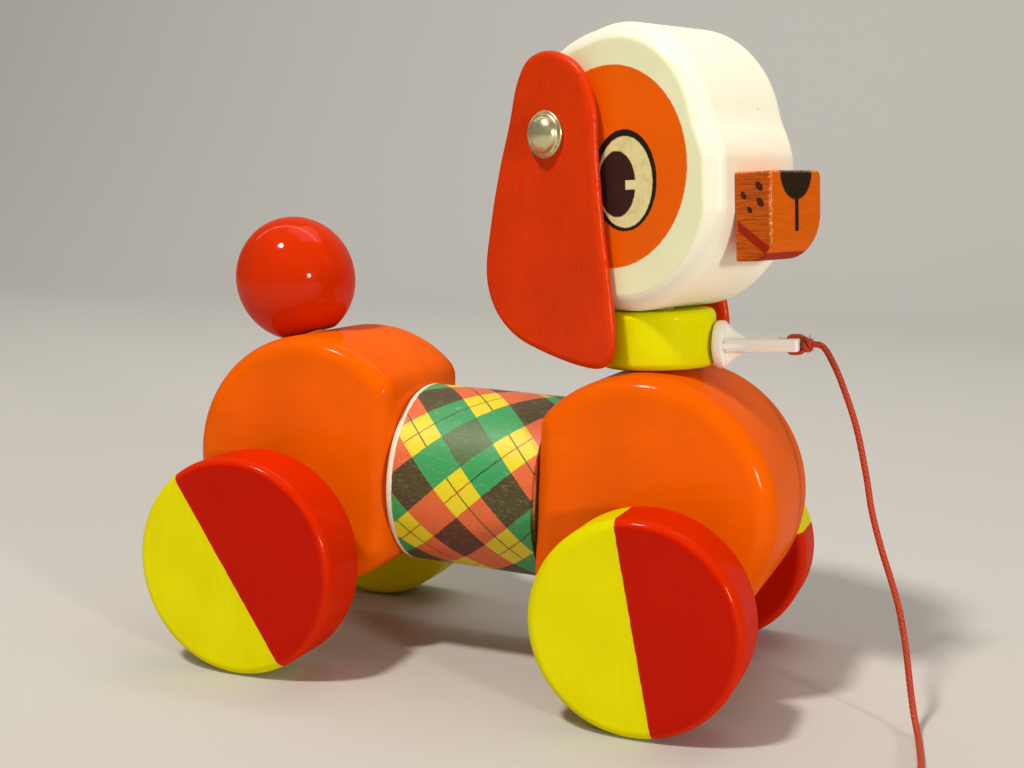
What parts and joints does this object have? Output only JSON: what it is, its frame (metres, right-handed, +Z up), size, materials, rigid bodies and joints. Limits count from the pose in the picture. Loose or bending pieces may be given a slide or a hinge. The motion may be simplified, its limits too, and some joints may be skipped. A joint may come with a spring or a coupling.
{
  "type": "pull along toy",
  "caption": "Pull along wooden dog on free-turning wheels, with a swivelling head, swinging plastic ears, a paper covered tube belly, a ball tail and a thin pull cord.",
  "frame": {"origin": "on the ground under the middle of the toy's box, measured without the cord", "axes": "+X is the way the dog faces and rolls, +Y its left, +Z up; it stands on z = 0"},
  "size_m": [0.2673, 0.1395, 0.1922],
  "materials": {
    "body_paint": "gloss enamel, orange",
    "tube_paper": "card tube covered with printed tartan paper, satin varnish",
    "bare_pine": "unpainted, sanded",
    "collar_paint": "gloss enamel, yellow",
    "head_paint": "semi-gloss enamel, off-white, printed eyes on orange discs",
    "muzzle_wood": "orange-brown stain, satin, printed nose and mouth",
    "ear_plastic": "moulded plastic with an embossed grain, red",
    "nail_nickel": "nickel plated, slightly dulled",
    "tail_paint": "gloss enamel, red",
    "axle_steel": "bright steel rod",
    "wheel_paint": "gloss enamel, part red and part yellow",
    "plug_nylon": "moulded nylon, milky white",
    "cord_red": "waxed cord, red"
  },
  "bodies": {
    "body": {"front_body": "body_paint", "rear_body": "body_paint", "body_tube": "tube_paper", "tube_plug_front": "bare_pine", "tube_plug_rear": "bare_pine", "waist_dowel": "bare_pine", "neck_collar": "collar_paint", "neck_dowel": "bare_pine", "tail_ball": "tail_paint", "tail_dowel": "bare_pine", "cord_plug": "plug_nylon", "cord_knot": "cord_red", "pull_cord": "cord_red", "cord_coil": "cord_red", "cord_tail": "cord_red", "cord_end_knot": "cord_red"},
    "head": {"head_block": "head_paint", "muzzle_block": "muzzle_wood", "ear_nail_right": "nail_nickel", "ear_nail_left": "nail_nickel"},
    "right_ear": {"ear_right": "ear_plastic"},
    "left_ear": {"ear_left": "ear_plastic"},
    "front_wheels": {"front_axle": "axle_steel", "wheel_front_right": "wheel_paint", "wheel_front_left": "wheel_paint"},
    "rear_wheels": {"rear_axle": "axle_steel", "wheel_rear_right": "wheel_paint", "wheel_rear_left": "wheel_paint"}
  },
  "joints": [
    {"name": "head_swivel", "type": "hinge", "parent": "body", "child": "head", "pos_m": [0.05232, 0, 0.05425], "axis": [-0.0489, 0, 0.9988], "range_deg": [-16, 64]},
    {"name": "right_ear_swing", "type": "hinge", "parent": "head", "child": "right_ear", "pos_m": [0.02132, -0.01029, 0.16096], "axis": [0.4078, 0.9128, 0.0199], "range_deg": [-5, 35]},
    {"name": "left_ear_swing", "type": "hinge", "parent": "head", "child": "left_ear", "pos_m": [0.03755, 0.02605, 0.16175], "axis": [0.4078, 0.9128, 0.0199], "range_deg": [-5, 35]},
    {"name": "front_axle_spin", "type": "hinge", "parent": "body", "child": "front_wheels", "pos_m": [0.0602, 0, 0.03], "axis": [0, 1, 0], "continuous": true},
    {"name": "rear_axle_spin", "type": "hinge", "parent": "body", "child": "rear_wheels", "pos_m": [-0.06326, 0, 0.03306], "axis": [0, 1, 0], "continuous": true}
  ]
}
